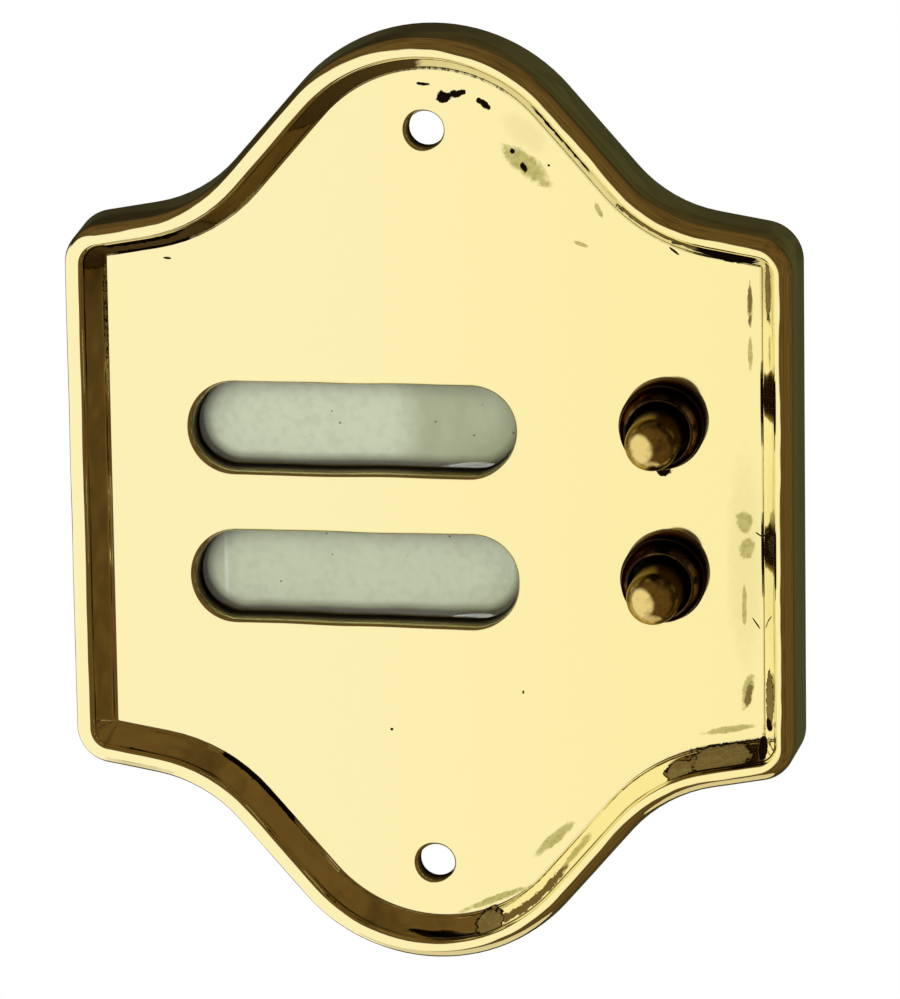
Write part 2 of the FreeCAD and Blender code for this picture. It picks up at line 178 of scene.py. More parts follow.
class PlateSizes(bpy.types.PropertyGroup):
    crown_radius: length("Crown radius", "Round of the outline at top and bottom", 24.0)
    flank_angle: angle("Flank angle", "Slope of the outline below the crown", 49.0)
    flank_radius: length("Flank radius", "Hollow round between flank and shoulder", 18.5)
    shoulder_angle: angle("Shoulder angle", "Slope of the outline above the side", 10.0)
    shoulder_below_top: length("Shoulder below top", "Top of the plate to its side corner", 27.0)
    rim_width: length("Rim width", "Outer edge of the rim to the field", 4.9)
    rim_land: length("Rim land", "Flat top of the rim, edges unrounded", 2.35)
    rim_spread: length("Rim spread", "Spread of the inner side's foot", 0.2)
    rim_draft: length("Rim draft", "Lean of the outer side", 0.3)
    rim_outer_round: length("Outer round", "Round on the outer edge of the rim", 1.9)
    rim_inner_round: length("Inner round", "Round on the inner edge of the rim", 0.5)
    rim_root_round: length("Root round", "Round where the rim meets the field", 0.5)
    rim_foot_width: length("Foot width", "Thickness of the rim at the wall", 3.0)
    rim_foot_round: length("Foot round", "Eased edge of the rim at the wall", 0.15)
    field_front: length("Field height", "Front of the field above the wall", 6.0)
    field_corner_round: length("Field corner", "Round in the field's corners", 0.5)
    window_edge: length("Window edge", "Eased edge round each name window", 0.5)
    window_wave: length("Window wave", "Wander of the hand-filed window edges", 0.13)
    window_sag: length("Window sag", "Droop of the lower window's right end", 0.5)
    window_taper: length("Window taper", "Lean of a window's left and bottom walls", 0.65)
    rim_wave: length("Rim wave", "Wander of the cast, hand-polished rim", 0.06)
    grime_height: length("Grime height", "Climb of old polish up the rim's slope", 0.8)
    pane_margin: length("Pane margin", "Reach of the pane past its window", 2.0)


class ButtonSizes(bpy.types.PropertyGroup):
    button_radius: length("Button radius", "Radius of the push button's shank", 3.55)
    stop_gap: length("Stop gap", "Gap between collar neck and flange", 0.05)
    flange_thickness: length("Flange", "Thickness of the button's flange", 1.0)
    spigot_radius: length("Spigot radius", "Tail of the button, in the spring", 2.4)
    guide_fit: length("Guide fit", "Clearance of the button in its collar", 0.05)
    neck_radius: length("Neck radius", "Threaded neck behind the collar", 4.9)
    collar_height: length("Collar height", "Height of the collar above the field", 6.2)
    ledge_height: length("Ledge height", "Height of the collar's small ledge", 2.5)
    ledge_width: length("Ledge width", "Width of the collar's small ledge", 0.3)
    dome_height: length("Dome height", "Height of the collar's domed end", 1.6)
    dome_round: length("Dome round", "Round of the collar's domed shoulder", 3.5)
    mouth_radius: length("Mouth radius", "Wide mouth of the collar", 4.05)
    mouth_depth: length("Mouth depth", "Depth of the collar's wide mouth", 3.2)
    mouth_bevel: length("Mouth bevel", "Bevel at the collar's mouth", 0.45)
    lip_width: length("Lip width", "Width of the collar's lip", 0.6)
    spin_steps: IntProperty(name="Spin steps", description="Sides of a turned piece",
                            default=128, min=24)


class Finishes(bpy.types.PropertyGroup):
    brass: colour("Brass", "Polished brass", 0.97, 0.84, 0.38)
    brass_pale: colour("Pale brass", "Brass where the polish is fresh", 0.98, 0.87, 0.46)
    brass_deep: colour("Deep brass", "Turned brass that fingers keep bright", 0.80, 0.60, 0.21)
    brass_slope: colour("Slope brass", "Brass of the rim's slope, rubbed pale", 1.0, 0.96, 0.74)
    brass_dark: colour("Dark brass", "Turned brass that has gone brown", 0.10, 0.062, 0.018)
    collar_bright: colour("Collar brass", "Bright side of the brown collars", 0.16, 0.095, 0.034)
    collar_dark: colour("Dark collar", "Blackened side of the collars", 0.022, 0.012, 0.005)
    film: colour("Film", "Brown film of old lacquer and polish", 0.15, 0.095, 0.026)
    film_light: colour("Light film", "Thin yellow-brown film", 0.34, 0.29, 0.09)
    # This colour also gives the painted shade inside the plate's holes and windows.
    grime: colour("Grime", "Old polish and dirt in the corners", 0.007, 0.004, 0.0015)
    verdigris: colour("Tarnish", "Green-grey tarnish", 0.43, 0.38, 0.10)
    cast_back: colour("Cast back", "Unpolished cast brass at the back", 0.46, 0.31, 0.12)
    sheet_brass: colour("Sheet brass", "Rolled brass of clips and washers", 0.70, 0.50, 0.20)
    contact_brass: colour("Contact strip", "Springy bronze of the contacts", 0.66, 0.38, 0.18)
    steel: colour("Steel", "Plated steel of the screws", 0.55, 0.54, 0.50)
    spring_steel: colour("Spring steel", "Drawn wire of the springs", 0.42, 0.41, 0.40)
    card: colour("Card", "Blank name card", 0.70, 0.72, 0.52)
    card_aged: colour("Aged card", "Yellowed part of a card", 0.38, 0.39, 0.21)
    # The stain colour is painted shade of the window frame on each card, with some real stain.
    stain: colour("Stain", "Green-brown stain along a card's frame", 0.14, 0.125, 0.035)
    # Painted shade where card and frame meet, with brown dirt.
    frame_dirt_and_shade: colour("Frame edge", "Brown dirt where card and frame meet", 0.05, 0.032, 0.006)
    crease: length("Crease", "Where the lower card has a pale crease", -29.4)
    fibre: colour("Fibre", "Red insulating fibre", 0.30, 0.075, 0.035)
    moulded: colour("Moulding", "Black moulded contact base", 0.022, 0.017, 0.014)
    floor: colour("Floor", "Plain pale floor", 0.86, 0.86, 0.85)


class StageSettings(bpy.types.PropertyGroup):
    azimuth: angle("Azimuth", "Camera to the right of straight ahead", 9.2)
    elevation: angle("Elevation", "Camera above the horizon", 13.5)
    roll: angle("Roll", "Turn of the camera about its sight line", -0.88)
    distance: length("Distance", "Camera to the plate", 1100.0)
    target: FloatVectorProperty(name="Target", description="Point in the middle of the picture",
                                default=(0.0011, 0.0, -0.0018), unit="LENGTH", subtype="XYZ")
    lens: FloatProperty(name="Lens", description="Focal length in mm", default=292.7, min=1.0)
    lamp_power: FloatProperty(name="Lamp power", description="Power of the large soft lamp in W",
                              default=14.0, min=0.0)
    floor_height: length("Floor height", "Height of the floor from the plate's middle", -450.0)


def worked(operation, reflected=False):
    """An operator that adds a Math node between a channel and another channel or number."""
    def operator(channel, other=0.0):
        given = (other, channel) if reflected else (channel, other)
        return channel.paint.value("Math", {"operation": operation}, dict(enumerate(given)))
    return operator


class Channel:
    """One number that varies over a surface, used in sums like any other number.

    The signs | and & take the higher and the lower of two numbers.
    """

    def __init__(self, paint, socket):
        self.paint = paint
        self.socket = socket

    __add__ = __radd__ = worked("ADD")
    __sub__ = worked("SUBTRACT")
    __rsub__ = worked("SUBTRACT", reflected=True)
    __mul__ = __rmul__ = worked("MULTIPLY")
    __pow__ = worked("POWER")
    __or__ = worked("MAXIMUM")
    __and__ = worked("MINIMUM")
    __abs__ = worked("ABSOLUTE")


class Paint:
    """The nodes of one finish, with short ways to add more."""

    def __init__(self, tree):
        self.tree = tree
        self.tone = None

    def node(self, kind, settings=None, inputs=None):
        """Adds a shader node, gives it its settings, then the values or links of its sockets."""
        made = self.tree.nodes.new("ShaderNode" + kind)
        for name, setting in (settings or {}).items():
            setattr(made, name, setting)
        for key, given in (inputs or {}).items():
            source = given.socket if isinstance(given, Channel) else given
            if isinstance(source, bpy.types.NodeSocket):
                self.tree.links.new(source, made.inputs[key])
            else:
                made.inputs[key].default_value = source
        return made

    def value(self, kind, settings=None, inputs=None, output=0):
        """Adds a node and returns the number that it gives."""
        return Channel(self, self.node(kind, settings, inputs).outputs[output])

    def rise(self, source, low, high):
        """0 below low, 1 above high, smooth between."""
        return self.value("MapRange", {"interpolation_type": "SMOOTHSTEP"},
                          {"Value": source, "From Min": low, "From Max": high})

    def scaled(self, source, factor, start):
        """source * factor + start, in one node."""
        return self.value("Math", {"operation": "MULTIPLY_ADD"},
                          {0: source, 1: factor, 2: start})

    def fall(self, source, low, high):
        """1 below low, 0 above high, smooth between."""
        return 1.0 - self.rise(source, low, high)

    def near(self, source, centre, inside, outside):
        """1 close to a central value, 0 further away on either side."""
        return self.fall(abs(source - centre), inside, outside)

    def blend(self, factor, first, second):
        """One colour over another."""
        mix = self.node("Mix", {"data_type": "RGBA"}, {0: factor, 6: first, 7: second})
        return mix.outputs[2]


    def cover(self, share, colour):
        """Lays a colour over the tone so far, by that share."""
        self.tone = self.blend(share, self.tone, colour)


class Finish(Paint):
    """One material with a Principled shader, read in the object's own coordinates."""

    def __init__(self, name, constants):
        self.material = bpy.data.materials.new(name)
        self.material.use_nodes = True
        super().__init__(self.material.node_tree)
        self.shader = self.tree.nodes["Principled BSDF"]
        for socket, constant in constants.items():
            self.shader.inputs[socket].default_value = constant
        self.place = self.node("TexCoord").outputs["Object"]
        split = self.node("SeparateXYZ", inputs={0: self.place})
        self.x, self.y, self.z = (Channel(self, split.outputs[k]) for k in range(3))

    def set(self, **links):
        """Links colours and numbers that vary to the shader, named with _ for a space."""
        for name, source in links.items():
            given = source.socket if isinstance(source, Channel) else source
            self.tree.links.new(given, self.shader.inputs[name.replace("_", " ")])
        return self.material

    def stored(self, name):
        """A number that the mesh holds at its points."""
        return self.value("Attribute", {"attribute_name": name}, None, "Fac")

    def grain(self, size, detail=3.0, stretch=(1.0, 1.0, 1.0), roughness=0.5, shift=0.0):
        """Soft noise whose lumps are about size across, from 0 to 1."""
        scale = tuple(way / size for way in stretch)
        moved = self.node("Mapping", {"vector_type": "POINT"},
                          {"Vector": self.place, "Location": (shift, shift, shift), "Scale": scale})
        return self.value("TexNoise", None,
                          {"Vector": moved.outputs[0], "Scale": 1.0, "Detail": detail,
                           "Roughness": roughness})

    def specks(self, size, share):
        """Small dots: 1 inside a dot, 0 between."""
        cells = self.node("TexVoronoi", {"feature": "F1"},
                          {"Vector": self.place, "Scale": 1.0 / size})
        return self.fall(Channel(self, cells.outputs["Distance"]), share * 0.6, share)

    def away(self, x, z, turn, half):
        """How far a point lies from (x, z) along a turned line, in units of half."""
        across, up = math.cos(turn) / half, math.sin(turn) / half
        start = self.scaled(self.x, across / MM, -x * across - z * up)
        return self.scaled(self.z, up / MM, start)

    def oval(self, x, z, half_length, half_height, turn):
        """0 in the middle of an oval on the field, 1 on its edge and more outside."""
        along = self.away(x, z, math.radians(turn), half_length)
        beside = self.away(x, z, math.radians(turn + 90), half_height)
        return self.scaled(along, along, beside * beside)

    def marks(self, spots, ragged, low=0.5, high=1.1):
        """Ragged oval marks, 1 in their middle and 0 outside."""
        nearest = self.oval(*spots[0])
        for spot in spots[1:]:
            nearest = nearest & self.oval(*spot)
        return self.fall(nearest + ragged, low, high)

    def bump(self, height, distance):
        """Fine relief of that height, as a normal for the shader."""
        return self.node("Bump", None,
                         {"Height": height, "Distance": distance}).outputs[0]


def plate_grime(paint, climb, band, crumbs, fine, ragged, patches):
    """Black old polish along the rim's root, in its corners and in single patches, and a dark line
    along the crest's inner edge.
    """
    root = 1.0 - abs(climb - 0.95 + crumbs * 0.8) * 2.8
    # A dark line along the crest's inner edge.
    crest = paint.near(climb, 2.65, 0.05, 0.2)
    grimy = paint.marks(GRIMY_CORNERS, crumbs * 0.4, 0.0, 1.3)
    grime = paint.rise(root * (0.35 + grimy * 0.32) + crumbs * 0.7 + fine * 0.6, 0.4, 0.85)
    grime = grime | crest * (0.15 + patches * 0.35 + grimy * 0.6)
    grime = grime | paint.marks(BLACK_DIRT, ragged * 0.3, 0.7, 1.1) * band
    by_root = paint.near(climb + crumbs, 1.05, 0.15, 0.4)
    by_crest = paint.near(climb + crumbs, 2.4, 0.15, 0.35)
    grime = grime | paint.marks(ROOT_LINES, crumbs * 0.8) * by_root
    return grime | paint.marks(CREST_LINES, crumbs * 0.8) * by_crest


def polished_brass(look, sizes):
    """The hand-polished front of the cast plate, with its pits, tarnish, film and grime, and
    painted shade in its holes and windows.
    """
    paint = Finish("polished brass", {"Specular IOR Level": 0.0})
    streaks = paint.grain(3 * MM, 4.0, (1.0, 1.0, 0.25), shift=3.0)
    ragged = (paint.grain(0.8 * MM, 5.0) - 0.5) * 4.0
    crumbs = paint.grain(0.9 * MM, 5.0, shift=7.0) - 0.5
    fine = paint.grain(0.4 * MM, 4.0, shift=13.0) - 0.5
    patches = paint.rise(paint.grain(9 * MM, 2.0, shift=11.0), 0.35, 0.65)
    lumps = paint.grain(7 * MM, 1.0, shift=19.0)
    front = paint.rise(paint.y * -1.0, sizes.field_front - 0.9 * MM, sizes.field_front - 0.1 * MM)
    climb = paint.stored("climb")
    on_rim = paint.rise(climb, 1.0, 1.6)
    slope = paint.rise(climb, 0.9, 1.2) - paint.rise(climb, 2.6, 2.9)
    band = paint.rise(climb, 0.6, 1.0) - paint.rise(climb, 2.6, 2.8)
    wall = (1.0 - front) * (1.0 - on_rim)
    high_up = paint.rise(paint.z + crumbs * 4 * MM, 24 * MM, 31 * MM)
    right_margin = paint.rise(paint.x + crumbs * 14 * MM, -30 * MM, 46 * MM)
    filmed = paint.marks(FILMED_SLOPES, crumbs * 0.3, 0.7, 1.0) * slope
    along_slope = paint.near(climb + crumbs * 0.5, 2.2, 0.1, 0.3)
    filmed = filmed | paint.marks(FILM_LINES, crumbs, 0.2, 1.1) * along_slope
    grime = plate_grime(paint, climb, band, crumbs, fine, ragged, patches)
    stain = paint.marks(RIM_DIRT, ragged * 0.3 + crumbs * 1.2, 0.4, 1.2) * band
    crust = paint.rise(1.0 - abs(stain - 0.4) * 2.4 + fine * 1.2, 0.35, 0.75)
    crust = crust * paint.rise(stain, 0.02, 0.2)
    pits = paint.marks(CASTING_PITS + DARK_SPECKS, ragged * 0.6) * front
    tarnish = paint.marks(TARNISH_SPOTS, ragged * 0.4, 0.45, 1.2) * front
    mottled = paint.rise(crumbs + fine, -0.12, 0.2)
    streaked = paint.marks(BROWN_STREAKS, ragged * 0.7) * front
    haze = paint.marks(HAZE, crumbs * 0.8, 0.0, 1.3) * front
    paint.tone = paint.blend(right_margin, look.brass_pale, look.brass)
    paint.cover(slope, look.brass_slope)
    paint.cover(slope * high_up * (0.3 + streaks * 0.6), look.film_light)
    paint.cover(paint.rise(filmed, 0.0, 0.45), look.film)
    # Brown film with painted shade on the walls of the holes and windows.
    paint.cover(wall * 0.93, look.film)
    paint.cover(tarnish * (0.75 + mottled * 0.2) | haze * 0.16, look.verdigris)
    paint.cover(streaked * 0.85, look.film)
    old_film = paint.blend(patches * 0.2 + mottled * 0.2, look.film, look.film_light)
    paint.cover(paint.rise(stain, 0.0, 0.45), old_film)
    # Painted shade, darker deeper inside the holes and windows.
    painted_recess_shade = wall * paint.rise(paint.y, -5.4 * MM, -3.6 * MM) * 0.7
    # Grime, pits and crust, together with the painted shade in the holes and windows.
    grime_and_shade = grime | pits | crust | painted_recess_shade
    paint.cover(paint.rise(grime_and_shade, 0.0, 0.6), look.grime)
    rough = 0.04 + streaks * 0.02 + tarnish * 0.12 + stain * 0.3 + grime_and_shade * 0.4 + wall * 0.2
    relief = streaks * 0.0004 + lumps * on_rim * 1.1 - pits * 0.5 - grime * 0.08
    bare = paint.fall(grime_and_shade | filmed | stain, 0.4, 0.9)
    return paint.set(Base_Color=paint.tone, Roughness=rough, Metallic=bare,
                     Normal=paint.bump(relief, 0.25 * MM))


def cast_brass_back(look):
    """The back of the plate: brass as it came out of the sand, browned with age."""
    paint = Finish("cast brass back", {})
    sand = paint.grain(0.35 * MM, 5.0, roughness=0.65)
    blotches = paint.rise(paint.grain(7 * MM, 4.0, shift=2.0), 0.35, 0.7)
    bright = paint.rise(paint.grain(2.2 * MM, 3.0, shift=5.0), 0.62, 0.75)
    paint.tone = paint.blend(blotches * 0.3, look.cast_back, look.verdigris)
    paint.cover(bright * 0.6, look.brass_deep)
    return paint.set(Base_Color=paint.tone, Roughness=0.62 - bright * 0.2 + sand * 0.1,
                     Metallic=0.8 - blotches * 0.15, Normal=paint.bump(sand, 0.12 * MM))


def turned_brass(name, bright, browned, share, worn_to, edge_tint):
    """Lathe-turned brass: fine rings about its own axis, a brown film over a share of it, and
    painted shade in the collar's mouth and bore.
    """
    bore_shade = (0.008, 0.005, 0.002, 1.0)
    paint = Finish(name, {"Metallic": 1.0, "Specular Tint": edge_tint})
    radius, hollow = paint.stored("from_axis"), paint.stored("hollow")
    rings = paint.value("Math", {"operation": "SINE"},
                        {0: (radius + paint.y * 0.6) * (2 * math.pi / (0.16 * MM))})
    clouds = paint.grain(3.5 * MM, 4.0)
    blots = paint.grain(1.1 * MM, 4.0, shift=8.0)
    film = paint.rise(clouds * 0.7 + blots * 0.3 + share, 0.42, 0.68)
    film = film | paint.rise(radius + (blots - 0.5) * MM, worn_to * 0.7, worn_to)
    paint.tone = paint.blend(film, bright, browned)
    # Near-black painted shade inside the collar's mouth and bore.
    paint.cover(hollow * (0.7 + clouds * 0.3), bore_shade)
    return paint.set(Base_Color=paint.tone, Roughness=0.13 + film * 0.1 + hollow * 0.35,
                     Normal=paint.bump(rings * 0.4 + clouds * 14.0, 0.004 * MM))


def sheet_metal(name, tone_from, tone_to, shine, stretch):
    """Rolled sheet or drawn wire: fine lines one way, with a little tarnish."""
    paint = Finish(name, {"Metallic": 1.0})
    lines = paint.grain(0.25 * MM, 4.0, stretch)
    stain = paint.rise(paint.grain(3 * MM, 4.0, shift=4.0), 0.45, 0.75)
    paint.tone = paint.blend(stain * 0.8, tone_from, tone_to)
    return paint.set(Base_Color=paint.tone, Roughness=shine + stain * 0.22 + lines * 0.12,
                     Normal=paint.bump(lines, 0.02 * MM))


def clear_glass():
    """Clear glass with a trace of haze."""
    paint = Finish("clear glass", {"Base Color": (0.95, 0.98, 0.96, 1.0), "IOR": 1.5,
                                   "Specular IOR Level": 0.03, "Transmission Weight": 1.0})
    haze = paint.rise(paint.grain(6 * MM, 3.0), 0.55, 0.8)
    return paint.set(Roughness=0.015 + haze * 0.03)


def blank_card(look, level, half_length, radius):
    """Old name card without writing: grey-green, with fibres, and a stain along its window with
    painted shade of the frame, widest at the left and bottom.
    """
    paint = Finish(level + " blank card", {"Specular IOR Level": 0.0})
    centre = middle(level + "_window_pane")
    # Shifts the painted frame shade onto the card's left and bottom edges.
    shade_shift = 0.6 * MM
    pale = (0.85, 0.88, 0.78, 1.0)
    fibres = paint.grain(0.45 * MM, 5.0, (1.0, 1.0, 2.2))
    mottle = paint.grain(1.1 * MM, 4.0, shift=5.0)
    streaks = paint.grain(2.2 * MM, 3.0, (1.0, 1.0, 0.3), shift=9.0)
    clouds = paint.grain(9 * MM, 3.0, shift=6.0)
    end = abs(paint.x - centre.x - shade_shift) - (half_length - radius) | 0.0
    away = (end ** 2 + (paint.z - centre.z - shade_shift) ** 2) ** 0.5
    inwards = radius - 0.2 * MM - away + (clouds - 0.5) * 0.7 * MM
    paint.tone = paint.blend(paint.rise(mottle, 0.4, 0.7) * 0.2, look.card, look.card_aged)
    if level == "upper":
        # The upper card is darker towards its right third.
        aged = paint.rise(paint.x + (clouds - 0.5) * 5 * MM, -7.5 * MM, -1.5 * MM)
        paint.cover(aged * (0.45 + streaks * 0.5), look.card_aged)
    else:
        scratch = paint.rise(paint.x, 2 * MM, 8 * MM) * paint.rise(streaks + fibres, 1.1, 1.3)
        crease = paint.near(paint.x, look.crease, 0.15 * MM, 0.35 * MM)
        paint.cover(0.12 + clouds * 0.15, look.card_aged)
        paint.cover((scratch | crease) * 0.5, pale)
    paint.cover(paint.specks(2.6 * MM, 0.075) * 0.8, look.grime)
    # Painted shade of the window frame on the card, with some stain, darkest at the frame's edge.
    paint.cover(paint.fall(inwards, 0.3 * MM, 1.7 * MM) * 0.8, look.stain)
    paint.cover(paint.fall(inwards, 0.1 * MM, 0.7 * MM) * 0.9, look.frame_dirt_and_shade)
    return paint.set(Base_Color=paint.tone, Roughness=0.8 + fibres * 0.1,
                     Normal=paint.bump(fibres, 0.02 * MM))


def insulating_fibre(look):
    """Vulcanised fibre: dull red, with darker flecks."""
    paint = Finish("fibre", {})
    flecks = paint.rise(paint.grain(0.5 * MM, 4.0, (1.0, 1.0, 0.4)), 0.4, 0.75)
    paint.tone = paint.blend(flecks * 0.7, look.fibre, look.grime)
    return paint.set(Base_Color=paint.tone, Roughness=0.62 + flecks * 0.15,
                     Normal=paint.bump(flecks, 0.03 * MM))


def moulded_black(look):
    """Black moulding with a brownish swirl and a worn gloss."""
    brown, grey = (0.05, 0.028, 0.016, 1.0), (0.16, 0.14, 0.11, 1.0)
    paint = Finish("moulded black", {"Coat Weight": 0.15, "Coat Roughness": 0.3})
    swirl = paint.rise(paint.grain(5 * MM, 3.0, (1.0, 0.5, 1.0)), 0.4, 0.7)
    dust = paint.rise(paint.grain(0.4 * MM, 4.0, shift=9.0), 0.6, 0.85)
    paint.tone = paint.blend(swirl, look.moulded, brown)
    paint.cover(dust * 0.25, grey)
    return paint.set(Base_Color=paint.tone, Roughness=0.34 + dust * 0.25,
                     Normal=paint.bump(dust + swirl * 0.5, 0.015 * MM))


def finishes(context):
    """The materials of all pieces by name, made once."""
    look, aged = context.scene.bell_finishes, context.scene.bell_finishes.cast_back
    if "polished brass" not in bpy.data.materials:
        polished_brass(look, context.scene.bell_plate)
        cast_brass_back(look)
        turned_brass("turned brass", look.brass_deep, look.brass_dark, -0.06, 3.3 * MM,
                     (0.8, 0.7, 0.45, 1.0))
        turned_brass("browned brass", look.collar_bright, look.collar_dark, 0.1, 5.6 * MM,
                     (0.3, 0.2, 0.09, 1.0))
        sheet_metal("sheet brass", look.sheet_brass, aged, 0.28, (0.15, 1.0, 1.0))
        sheet_metal("contact strip", look.contact_brass, aged, 0.24, (1.0, 0.2, 1.0))
        sheet_metal("steel", look.steel, aged, 0.25, (1.0, 1.0, 0.3))
        sheet_metal("spring steel", look.spring_steel, look.moulded, 0.25, (1.0, 1.0, 1.0))
        clear_glass()
        insulating_fibre(look)
        moulded_black(look)
    return bpy.data.materials


def chain(bm, points):
    """Edges joined one to the next through the points."""
    verts = [bm.verts.new(point) for point in points]
    for pair in zip(verts, verts[1:]):
        bm.edges.new(pair)
    return verts


def edges_in(parts):
    """The edges among parts of a bmesh."""
    return [part for part in parts if isinstance(part, bmesh.types.BMEdge)]


def ends_of(edges):
    """The points of some edges, each once and in order."""
    return list(dict.fromkeys(vert for edge in edges for vert in edge.verts))


def rounded(bm, geom, offset, segments, affect="EDGES"):
    """Rounds edges, or the corners of a chain."""
    bmesh.ops.bevel(bm, geom=geom, offset=offset, offset_type="OFFSET", segments=segments,
                    profile=0.5, affect=affect, material=-1)


def round_corner(bm, vert, radius, segments):
    """Rounds one corner of a chain."""
    before, after = (edge.other_vert(vert).co - vert.co for edge in vert.link_edges)
    reach = radius / math.tan(before.angle(after) / 2)
    rounded(bm, [vert], reach, segments, "VERTICES")


def moved_copy(bm, edges, step):
    """Extrudes edges by a step and returns the new edges."""
    grown = bmesh.ops.extrude_edge_only(bm, edges=edges)["geom"]
    verts = [part for part in grown if isinstance(part, bmesh.types.BMVert)]
    bmesh.ops.translate(bm, verts=verts, vec=step)
    return [edge for edge in edges_in(grown) if all(vert in verts for vert in edge.verts)]


def soften(bm, limit=math.radians(32)):
    """Smooth shading, with edges sharper than the limit kept crisp."""
    for face in bm.faces:
        face.smooth = True
    for edge in bm.edges:
        if len(edge.link_faces) == 2 and edge.calc_face_angle() > limit:
            edge.smooth = False


def object_of(bm, name, materials):
    """Turns a bmesh into an object with those materials."""
    mesh = bpy.data.meshes.new(name)
    bm.to_mesh(mesh)
    bm.free()
    for material in materials:
        mesh.materials.append(material)
    made = bpy.data.objects.new(name, mesh)
    bpy.context.scene.collection.objects.link(made)
    return made


def finished_piece(bm, name, body, replaced, materials):
    """Turns a bmesh into a piece that rides on a body and stands for a CAD node."""
    piece = object_of(bm, name, materials)
    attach(piece, body)
    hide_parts(replaced)
    return piece


def dress(node, material):
    """Gives a CAD node a material."""
    mesh = frame["nodes"][node].data
    mesh.materials.clear()
    mesh.materials.append(material)


def middle(node):
    """Middle of a CAD node's box."""
    low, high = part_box(node)
    return (Vector(low) + Vector(high)) / 2


def window_size(level, margin):
    """Half length and end radius of a window, from the pane behind it."""
    low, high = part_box(level + "_window_pane")
    return (high[0] - low[0]) / 2 - margin, (high[2] - low[2]) / 2 - margin


def rim_chain(bm, sizes, half_width, rim_height, field_back):
    """Section of the rim where the right-hand side crosses z = 0, as one chain of edges.

    Each point has its climb, inset, height, rounding radius and segments. The climb goes from 0 on
    the field over 1 at the root and 3 at the inner edge to 8 at the back, for the finish to read.
    """
    climb = bm.verts.layers.float.new("climb")
    back = bm.verts.layers.float.new("back")
    inner, crest = sizes.rim_width + sizes.rim_spread, sizes.rim_draft + sizes.rim_land
    margin = inner + 0.8 * (sizes.field_corner_round - sizes.rim_spread)
    slope = Vector((crest - inner, rim_height - sizes.field_front))
    low = slope * (sizes.grime_height / slope.y) + Vector((inner, sizes.field_front))
    high = Vector((crest, rim_height)) - slope * (2 * sizes.rim_inner_round / slope.y)
    outline = (
        (0.0, margin, sizes.field_front, 0.0, 0),
        (1.0, inner, sizes.field_front, sizes.rim_root_round, 5),
        (1.5, low.x, low.y, 0.0, 0),
        (2.5, high.x, high.y, 0.0, 0),
        (3.0, crest, rim_height, sizes.rim_inner_round, 6),
        (4.0, sizes.rim_draft, rim_height, sizes.rim_outer_round, 12),
        (5.0, 0.0, 0.0, sizes.rim_foot_round, 2),
        (6.0, sizes.rim_foot_width, 0.0, sizes.rim_foot_round, 2),
        (7.0, sizes.rim_foot_width + sizes.rim_draft, field_back, 0.0, 0),
        (8.0, margin, field_back, 0.0, 0),
    )
    verts = chain(bm, [Vector((half_width - inset, -height, 0))
                       for _, inset, height, _, _ in outline])
    for vert, (climbed, inset, height, _, _) in zip(verts, outline):
        vert[climb] = climbed
        behind = inset > sizes.rim_foot_width - TINY and height < sizes.field_front - TINY
        vert[back] = 1.0 if behind else 0.0
    for vert, (_, _, _, radius, segments) in zip(verts, outline):
        if radius:
            round_corner(bm, vert, radius, segments)


def run_of(bm, edges, start, end, step):
    """Carries the section along a straight run of the outline."""
    count = max(1, round((end - start).length / step))
    for _ in range(count):
        edges = moved_copy(bm, edges, (end - start) / count)
    return edges


def arc_of(bm, edges, centre, turn, radius, step):
    """Carries the section round an arc of the outline."""
    count = max(2, round(abs(turn) * radius / step))
    swept = bmesh.ops.spin(bm, geom=ends_of(edges) + edges, cent=centre, axis=(0, -1, 0),
                           angle=turn, steps=count, use_merge=False, use_duplicate=False)
    return edges_in(swept["geom_last"])


def on_line(centre, radius, bearing):
    """Point at that radius and bearing from a centre in the plane of the wall."""
    return centre + Vector((math.cos(bearing), 0, math.sin(bearing))) * radius


def rim_quarter(bm, sizes, half_width, half_height):
    """Carries the rim's section from the right-hand side to the crown."""
    step = OUTLINE_STEP
    flank, shoulder = sizes.flank_angle, sizes.shoulder_angle
    corner_radius = sizes.rim_width + sizes.field_corner_round
    crown_line = half_height + sizes.crown_radius * (1 / math.cos(flank) - 1)
    shoulder_line = half_height - sizes.shoulder_below_top + half_width * math.tan(shoulder)
    corner_x = half_width - corner_radius
    corner_z = shoulder_line - corner_x * math.tan(shoulder) - corner_radius / math.cos(shoulder)
    waist_x = (crown_line - shoulder_line + sizes.flank_radius
               * (1 / math.cos(flank) - 1 / math.cos(shoulder)))
    waist_x /= math.tan(flank) - math.tan(shoulder)
    waist_z = shoulder_line - waist_x * math.tan(shoulder) + sizes.flank_radius / math.cos(shoulder)
    corner = Vector((corner_x, 0, corner_z))
    waist = Vector((waist_x, 0, waist_z))
    crown = Vector((0, 0, half_height - sizes.crown_radius))
    on_shoulder, on_flank = math.pi / 2 - shoulder, math.pi / 2 - flank
    edges = run_of(bm, list(bm.edges), Vector((half_width, 0, 0)),
                   on_line(corner, corner_radius, 0), step)
    edges = arc_of(bm, edges, corner, on_shoulder, corner_radius, step / 3)
    edges = run_of(bm, edges, on_line(corner, corner_radius, on_shoulder),
                   on_line(waist, -sizes.flank_radius, on_shoulder), step)
    edges = arc_of(bm, edges, waist, on_flank - on_shoulder, sizes.flank_radius, step)
    edges = run_of(bm, edges, on_line(waist, -sizes.flank_radius, on_flank),
                   on_line(crown, sizes.crown_radius, on_flank), step)
    arc_of(bm, edges, crown, math.pi / 2 - on_flank, sizes.crown_radius, step)


